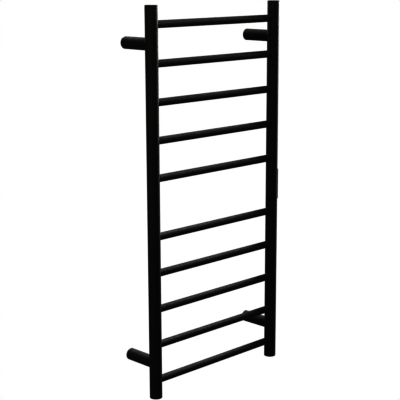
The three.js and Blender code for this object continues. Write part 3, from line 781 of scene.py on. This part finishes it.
def gasket():
    """A flat rubber frame with a rounded bead all round."""
    node = "control_gasket"
    low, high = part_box(node)
    width, bead, corner = 1.2 * MM, 0.15 * MM, 1.6 * MM
    outer = [(bead, low.x), (0, low.x + bead), (0, high.x - bead), (bead, high.x)]
    section = outer + [(width - inset, x) for inset, x in outer[::-1]]
    rings = [plate_ring(half_size(node), inset, corner - inset, x, middle(node).z) for inset, x in section]
    stand_in(node, "frame", skin(rings, closed=True))


def housing():
    """The tray for the electronics, with a screw boss and a gripping lip at each end."""
    low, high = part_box("control_housing")
    wall, soft, post, lip_depth = 1 * MM, 0.5 * MM, 2 * MM, 3.5 * MM
    lip, boss = Vector((0, 0, 3.8 * MM)), Vector((0, 0, 6.3 * MM))
    piece = stand_in("control_housing", "tray", soft_block(low + lip, high - lip, soft))
    lips_low = Vector((high.x - lip_depth, low.y + wall, low.z))
    join_on(piece, soft_block(lips_low, high - Vector((soft, wall, 0)), soft))
    room_low, room_high = low + lip + boss, high - lip - boss
    room_low += Vector((wall, wall, 0))
    room_high += Vector((post, -wall, 0))
    cut_away(piece, soft_block(room_low, room_high, soft))
    holes = bmesh.new()
    top, hole = high.x - AXIS_X, SCREW_SHANK + GAP
    for name in SCREWS:
        drill(hole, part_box(name)[0].x - GAP - AXIS_X, hole + GAP, top, GAP, module_place(name), holes)
    harness = half_size("control_harness").y
    way = axis_place(Vector((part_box("control_harness")[0].x + harness, POST_Y, 0)), "z")
    rod(harness + GAP, low.z - PAST, room_low.z + PAST, way, bm=holes)
    cut_away(piece, holes)
    posts = bmesh.new()
    spread = half_size("circuit_board").z - 3 * post
    post_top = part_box("circuit_board")[1].x - BOARD_THICKNESS - GAP
    for y in (room_low.y - GAP, room_high.y + GAP - post):
        for z in (-spread, spread):
            foot = Vector((low.x + wall / 2, y, z - post / 2))
            soft_block(foot, Vector((post_top, y + post, z + post / 2)), EDGE, bm=posts)
    join_on(piece, posts)


def solder(piece, face, height, size, places, finish):
    """Blocks on a face, out by the height or in where it is below 0. Size and (y, z) places are in mm."""
    bm = bmesh.new()
    width, length = size[0] * MM, size[1] * MM
    for y, z in places:
        corner = Vector((min(face, face + height), POST_Y + y * MM - width / 2, z * MM - length / 2))
        edge = min(abs(height), width, length) / 5
        soft_block(corner, corner + Vector((abs(height), width, length)), edge, bm=bm)
    merge(piece, new_piece("parts", bm, FINISHES[finish]))


def circuit_board():
    """The board, its relay and connector on the back, and the small parts on both faces."""
    low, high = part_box("circuit_board")
    face, back = high.x, high.x - BOARD_THICKNESS
    board = soft_block(Vector((back, low.y, low.z)), high, 0.12 * MM)
    piece = stand_in("circuit_board", "populated", board)
    legs = [(side * 2.1, 15.1 + 1.27 * i) for side in (-1, 1) for i in range(4)]
    chips = [(y, z) for y in (-2.8, 0, 2.8) for z in (-30, -28, -19, -17.2, 4.6, 6.4, 28, 30)]
    lamps = [(0, middle(name).z / MM) for name in LIGHTS]
    solder(piece, back, low.x - back, (4.8, 20), [(0, -2)], "housing_plastic")  # the relay
    solder(piece, back, low.x + MM - back, (4, 5), [(0, -30)], "light_plastic")  # the connector
    solder(piece, back, -2.4 * MM, (3.6, 9), [(0, 17)], "silicone")  # a capacitor
    solder(piece, face, 0.9 * MM, (3.6, 5), [(0, 17)], "housing_plastic")  # the controller
    solder(piece, face, 0.3 * MM, (0.9, 0.45), legs, "zinc_steel")  # the controller's
    solder(piece, face, 0.45 * MM, (1.6, 0.8), chips, "zinc_steel")  # their plated ends
    solder(piece, face, 0.5 * MM, (0.9, 0.82), chips, "housing_plastic")  # and their bodies
    solder(piece, face, 0.2 * MM, (1.6, 0.8), lamps, "clear_plastic")


def tact_switch(name):
    """A small square switch: a moulded base, a steel cover, four feet and a round plunger."""
    node = f"{name}_switch"
    low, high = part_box(node)
    plunger, cover, drop = 0.7 * MM, 0.25 * MM, 0.25 * MM  # the feet stand below the base
    top, height = high.x - plunger, middle(node).z / MM
    piece = stand_in(node, "square", soft_block(low, Vector((top - cover, high.y, high.z)), EDGE))
    solder(piece, top - cover, cover, (4.1, 4.1), [(0, height)], "zinc_steel")
    feet = [(y, height + z) for y in (-2.5, 2.5) for z in (-1.6, 1.6)]
    solder(piece, low.x - drop, 0.2 * MM, (1, 0.7), feet, "zinc_steel")
    radius, foot, tip = 1.1 * MM, top - AXIS_X + HAIR / 2, high.x - AXIS_X
    profile = [(0, foot), (radius, foot), (radius, tip - EDGE), (radius - EDGE, tip), (0, tip)]
    merge(piece, new_piece("plunger", revolve(profile, module_place(node)), FINISHES["button_plastic"]))


# ---------- Cables and the other parts inside the tubes ----------

CABLE_SIDES = 24
BEND_STEPS = 8  # points along each bend of a cable


def bent_route(corners, bend):
    """The path through the corners, each rounded to the bend's radius."""
    route = [corners[0]]
    for before, corner, after in zip(corners, corners[1:], corners[2:]):
        back, ahead = (before - corner).normalized(), (after - corner).normalized()
        half = back.angle(ahead) / 2
        centre = corner + (back + ahead).normalized() * bend / sin(half)
        start = (corner + back * bend / tan(half) - centre).normalized()
        end = (corner + ahead * bend / tan(half) - centre).normalized()
        route += [centre + start.slerp(end, step / BEND_STEPS) * bend for step in range(BEND_STEPS + 1)]
    return route + [corners[-1]]


def cable(node, corners, radius, bend=9 * MM, across=Vector((0, 1, 0))):
    """A round cable whose path lies in a plane, square to the across direction."""
    route = bent_route([Vector(corner) for corner in corners], bend)
    rings = []
    for i, point in enumerate(route):
        along = (route[min(i + 1, len(route) - 1)] - route[max(i - 1, 0)]).normalized()
        side = along.cross(across).normalized()
        directions = [side * cos(a) + across * sin(a) for a in angles(CABLE_SIDES)]
        rings.append([point + direction * radius for direction in directions])
    return stand_in(node, "sheath", skin([[route[0]]] + rings + [[route[-1]]]))


def heating_cable():
    """One cable up through every bar in turn, crossing from upright to upright."""
    start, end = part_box("terminal_block")[0].z - GAP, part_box("heating_cable")[1].z
    corners = [(AXIS_X, POST_Y, start)]
    for number, name in enumerate(BARS):
        order = ("right", "left") if number % 2 == 0 else ("left", "right")
        corners += [(POST_X[side], POST_Y, middle(name).z) for side in order]
    cable("heating_cable", corners + [(AXIS_X, POST_Y, end)], half_size("heating_cable").y)


def supply_lead():
    """From the wall, where its three cores show, through the wired stand-off to the terminal block."""
    node = "inner_supply_lead"
    low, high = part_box(node)
    level, radius = middle(f"{WIRED}_standoff").z, half_size(node).x
    corners = [(AXIS_X, high.y, level), (AXIS_X, POST_Y, level), (AXIS_X, POST_Y, low.z)]
    piece = cable(node, corners, radius, across=Vector((1, 0, 0)))
    bore = radius - 0.7 * MM
    core = bore / (1 + 2 / sqrt(3)) - HAIR  # three circles that touch inside the bore
    floor, core_end, wire_end = -0.9 * MM, -0.3 * MM, -0.15 * MM
    end = axis_place(Vector(corners[0]), "y")
    cut_away(piece, rod(bore, floor, PAST, end))
    for number, finish in enumerate(("brown_core", "blue_core", "earth_cable")):
        turn = Matrix.Rotation(2 * pi * number / 3, 4, "Z")
        place = end @ turn @ Matrix.Translation((bore - HAIR - core, 0, 0))
        merge(piece, new_piece("core", rod(core, floor + HAIR, core_end, place), FINISHES[finish]))
        wire = rod(core / 2, core_end + HAIR, wire_end, place)
        merge(piece, new_piece("wire", wire, FINISHES["brass"]))


def control_harness():
    """From the terminal block up to the control module, with a jog inwards below it."""
    node = "control_harness"
    low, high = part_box(node)
    radius = half_size(node).y
    start_x, end_x = high.x - radius, low.x + radius
    jog, bend = 10 * MM, 12 * MM
    jog_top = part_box("control_gasket")[0].z - 8 * MM
    points = [(start_x, low.z), (start_x, jog_top - jog), (end_x, jog_top), (end_x, high.z)]
    cable(node, [(x, POST_Y, z) for x, z in points], radius, bend)


def earth_lead():
    low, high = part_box("earth_lead")
    x = middle("earth_lead").x
    cable("earth_lead", [(x, POST_Y, low.z), (x, POST_Y, high.z)], 1.2 * MM)


def grooves(radius, depth, centres, top, floor):
    """A profile along a cylinder with a pressed groove at each centre.

    top and floor are half its widths, and are below 0 where the profile runs down.
    """
    profile = []
    for centre in centres:
        profile += [(radius, centre - top), (radius - depth, centre - floor)]
        profile += [(radius - depth, centre + floor), (radius, centre + top)]
    return profile


def cable_seal():
    """The sleeve over the heating cable's far end, with two crimped grooves and a rounded tip."""
    node = "heating_cable_seal"
    low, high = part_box(node)
    radius, length, tip = half_size(node).y, high.z - low.z, 1.2 * MM
    profile = [(0, 0), (radius - EDGE, 0), (radius, EDGE)]
    profile += grooves(radius, 0.45 * MM, (3.5 * MM, 7 * MM), top=0.9 * MM, floor=0.4 * MM)
    profile += arc((radius - tip, length - tip), tip, 0, 90, 6) + [(0, length)]
    stand_in(node, "sleeve", revolve(profile, on_post("right", low.z, "z")))


def cable_gland():
    """The rubber gland round the supply lead: a collar, a ribbed body and a tapered nose."""
    low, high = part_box("cable_gland")
    bore, body, nose, length = 3.3 * MM, LEAD_PASSAGE - GAP, 4 * MM, high.y - low.y
    collar_end, nose_start, first_rib, rib_pitch, ribs = -1.7 * MM, -24.7 * MM, -4.8 * MM, 3 * MM, 6
    profile = [(bore, 0), (GLAND_COLLAR - EDGE, 0), (GLAND_COLLAR, -EDGE), (GLAND_COLLAR, collar_end)]
    profile.append((body, collar_end))
    centres = [first_rib - rib * rib_pitch for rib in range(ribs)]
    profile += grooves(body, 0.5 * MM, centres, top=-0.8 * MM, floor=-0.4 * MM)
    profile += [(body, nose_start), (nose, EDGE - length), (nose - EDGE, -length), (bore, -length)]
    place = axis_place(Vector((AXIS_X, high.y, middle("cable_gland").z)), "y")
    stand_in("cable_gland", "ribbed", revolve(profile, place, closed=True))


def terminal_block():
    """A moulded three-way block, with grooves between the ways and a slotted screw in each well."""
    low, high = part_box("terminal_block")
    pitch, level = (high.x - low.x) / 3, middle("terminal_block").z
    well, depth, head, rim = pitch / 3, 3.5 * MM, 1.3 * MM, 0.3 * MM
    piece = stand_in("terminal_block", "moulding", soft_block(low, high, 0.5 * MM))
    cutter, screws, slots = bmesh.new(), bmesh.new(), bmesh.new()
    for way in range(3):
        place = axis_place(Vector((low.x + pitch * (way + 0.5), low.y, level)), "y")
        drill(well, depth, well + rim, 0, rim, place, cutter)
        profile = [(0, head), (well - 0.35 * MM, head), (well - EDGE, head + EDGE)]
        revolve(profile + [(well - EDGE, depth - EDGE), (0, depth - EDGE)], place, bm=screws)
        angle = 0.4 + way  # no two screws stand alike
        turn = Matrix.Translation((0, 0, head)) @ Matrix.Rotation(angle, 4, "Z")
        slot = Matrix.Diagonal((0.5 * MM, 4 * MM, 1.2 * MM, 1))
        bmesh.ops.create_cube(slots, size=1, matrix=place @ turn @ slot)
    groove = Matrix.Diagonal((0.7 * MM, 1.4 * MM, high.z - low.z + 2 * PAST, 1))
    for x in (low.x + pitch, low.x + 2 * pitch):
        for y in (low.y, high.y):
            bmesh.ops.create_cube(cutter, size=1, matrix=Matrix.Translation((x, y, level)) @ groove)
    cut_away(piece, cutter)
    heads = new_piece("heads", screws, FINISHES["zinc_steel"])
    cut_away(heads, slots)
    merge(piece, heads)


def thermal_cutout():
    """A moulded case with a round cover over the bimetal disc, and resin where its leads go in."""
    low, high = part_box("thermal_cutout")
    piece = stand_in("thermal_cutout", "case", soft_block(low, high, 0.7 * MM, 3))
    cover, groove, deep, rise, soft = 2.8 * MM, 0.35 * MM, 0.4 * MM, 3 * MM, 0.4 * MM
    place = axis_place(Vector((low.x, POST_Y, middle("thermal_cutout").z + rise)), "x")
    section = [(cover, -PAST), (cover + groove, -PAST), (cover + groove, deep), (cover, deep)]
    cutter = revolve(section, place, closed=True)
    wall, inside, floor = Vector((0.8, 0.8, 0)) * MM, Vector((0.85, 0.85, 0)) * MM, low.z + 0.9 * MM
    soft_block(low + wall - Vector((0, 0, PAST)), Vector((*(high - wall).xy, floor)), soft, bm=cutter)
    cut_away(piece, cutter)
    resin_high = Vector((*(high - inside).xy, floor - HAIR))
    resin = soft_block(low + inside + Vector((0, 0, GAP)), resin_high, EDGE)
    merge(piece, new_piece("resin", resin, FINISHES["rubber"]))


def earth_tag():
    """A ring terminal: a flat ring, a tongue and a barrel crimped round the earth lead."""
    low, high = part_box("earth_tag")
    lead_x, thick, hole, soft = middle("earth_lead").x, 0.8 * MM, 2.3 * MM, 0.12 * MM
    radius, barrel, top, half_tongue = AXIS_X - low.x, high.x - lead_x, high.z - low.z, 1.4 * MM
    ring = [(hole, soft), (hole + soft, 0), (radius - soft, 0), (radius, soft), (radius, thick - soft)]
    ring += [(radius - soft, thick), (hole + soft, thick), (hole, thick - soft)]
    piece = stand_in("earth_tag", "ring", revolve(ring, on_post("right", low.z, "z"), closed=True))
    start = Vector((AXIS_X + radius - MM, POST_Y - half_tongue, low.z + HAIR))
    end = Vector((lead_x + MM, POST_Y + half_tongue, low.z + thick - HAIR))
    join_on(piece, soft_block(start, end, soft))
    profile = [(0, HAIR / 2), (barrel - soft, HAIR / 2), (barrel, soft)]
    profile += grooves(barrel, GAP, (2.6 * MM, 4.6 * MM), top=0.7 * MM, floor=0.4 * MM)
    mouth, socket, socket_floor = barrel - 0.6 * MM, barrel - 0.7 * MM, top - 0.5 * MM
    profile += [(barrel, top - soft), (barrel - soft, top), (mouth, top), (socket, socket_floor)]
    profile.append((0, socket_floor))
    join_on(piece, revolve(profile, axis_place(Vector((lead_x, POST_Y, low.z)), "z")))


def earth_screw():
    """A pan head screw."""
    radius, edge, height, soft = 2 * MM, half_size("earth_screw").y, 2.4 * MM, 0.9 * MM
    head = [(radius, -height), (edge - EDGE, -height), (edge, EDGE - height)]
    head += arc((edge - soft, -soft), soft, 0, 90, 6) + [(0, 0)]
    screw("earth_screw", "pan", head, radius, 0.7 * MM, "z")


# ---------- The ladder ----------

for side in SIDES:
    upright(side)
    for end in ("top", "bottom"):
        end_cap(side, end)
for bar_node in BARS:
    bar(bar_node)
for end in ("top", "bottom"):
    for side in SIDES:
        corner = f"{end}_{side}"
        sleeve(corner, side)
        wall_base(corner)
        grub_screw(corner)
fascia()
for name in BUTTONS:
    push_button(name)
    tact_switch(name)
for name in LIGHTS:
    indicator(name)
for name in SCREWS:
    fascia_screw(name)
for make in (gasket, housing, circuit_board, heating_cable, cable_seal, supply_lead, cable_gland):
    make()
for make in (control_harness, earth_lead, terminal_block, thermal_cutout, earth_tag, earth_screw):
    make()


# ---------- Stage, lights and camera ----------

FLOOR_DROP = 4.0  # from the ladder's lower end to the floor, so that it can be seen from below
FLOOR_SIZE = 60.0
WHITE = (1, 1, 1)


def white_stage():
    """A floor that the camera sees as evenly white, and that neither lights nor shades the ladder."""
    recipe = Recipe("floor")
    emission = recipe.add("ShaderNodeEmission", {"Color": WHITE})
    output = next(node for node in recipe.tree.nodes if node.type == "OUTPUT_MATERIAL")
    recipe.feed(emission.outputs["Emission"], output.inputs["Surface"])
    bm = bmesh.new()
    place = Matrix.Translation((0, 0, cad_low.z - FLOOR_DROP))
    bmesh.ops.create_grid(bm, x_segments=1, y_segments=1, size=FLOOR_SIZE / 2, matrix=place)
    floor = new_piece("floor", bm, recipe.material)
    floor.visible_diffuse = False
    floor.visible_glossy = False
    floor.visible_transmission = False
    floor.visible_shadow = False


def surroundings(fill):
    """White to the camera, and a dim even fill for everything else."""
    world = bpy.data.worlds.new("surroundings")
    bpy.context.scene.world = world
    world.use_nodes = True
    tree = world.node_tree
    tree.nodes.clear()
    mix = tree.nodes.new("ShaderNodeMixShader")
    for socket, strength in ((1, fill), (2, 1.0)):
        background = tree.nodes.new("ShaderNodeBackground")
        background.inputs["Color"].default_value = (*WHITE, 1)
        background.inputs["Strength"].default_value = strength
        tree.links.new(background.outputs["Background"], mix.inputs[socket])
    path = tree.nodes.new("ShaderNodeLightPath")
    output = tree.nodes.new("ShaderNodeOutputWorld")
    tree.links.new(path.outputs["Is Camera Ray"], mix.inputs["Fac"])
    tree.links.new(mix.outputs["Shader"], output.inputs["Surface"])


def soft_light(name, position, size, power, colour=WHITE):
    """A square area light aimed at the ladder's middle."""
    data = bpy.data.lights.new(name, "AREA")
    data.shape = "SQUARE"
    data.size = size
    data.energy = power
    data.color = colour
    light = bpy.data.objects.new(name, data)
    light.location = position
    light.rotation_mode = "QUATERNION"
    light.rotation_quaternion = ((cad_low + cad_high) / 2 - light.location).to_track_quat("-Z", "Y")
    bpy.context.scene.collection.objects.link(light)


def photograph_camera():
    """The camera stands to the front left, a little above the ladder's top."""
    data = bpy.data.cameras.new("camera")
    data.sensor_width = 36
    data.lens = 97.45
    data.clip_end = 200
    camera = bpy.data.objects.new("camera", data)
    heading, tilt, roll = radians(44.512), radians(-12.251), radians(-0.207)
    aim = Matrix.Rotation(-heading, 4, "Z") @ Matrix.Rotation(pi / 2 + tilt, 4, "X")
    place = Matrix.Translation((-1.9829, -2.0549, 0.5935))
    camera.matrix_world = place @ aim @ Matrix.Rotation(roll, 4, "Z")
    bpy.context.scene.collection.objects.link(camera)
    bpy.context.scene.camera = camera


white_stage()
surroundings(0.4)
soft_light("overhead", (-0.5, -1.3, 2.3), 1.4, 60, (1.0, 0.92, 0.80))
soft_light("left", (-2.6, -0.4, 0.5), 1.0, 30)
soft_light("right", (2.6, 0.1, 0.9), 1.2, 300)
soft_light("behind", (0.6, 2.6, 1.4), 1.4, 120)
photograph_camera()
bpy.context.scene.view_settings.view_transform = "Standard"
bpy.context.scene.view_settings.gamma = 0.5  # the photograph's tones fall away steeply to black
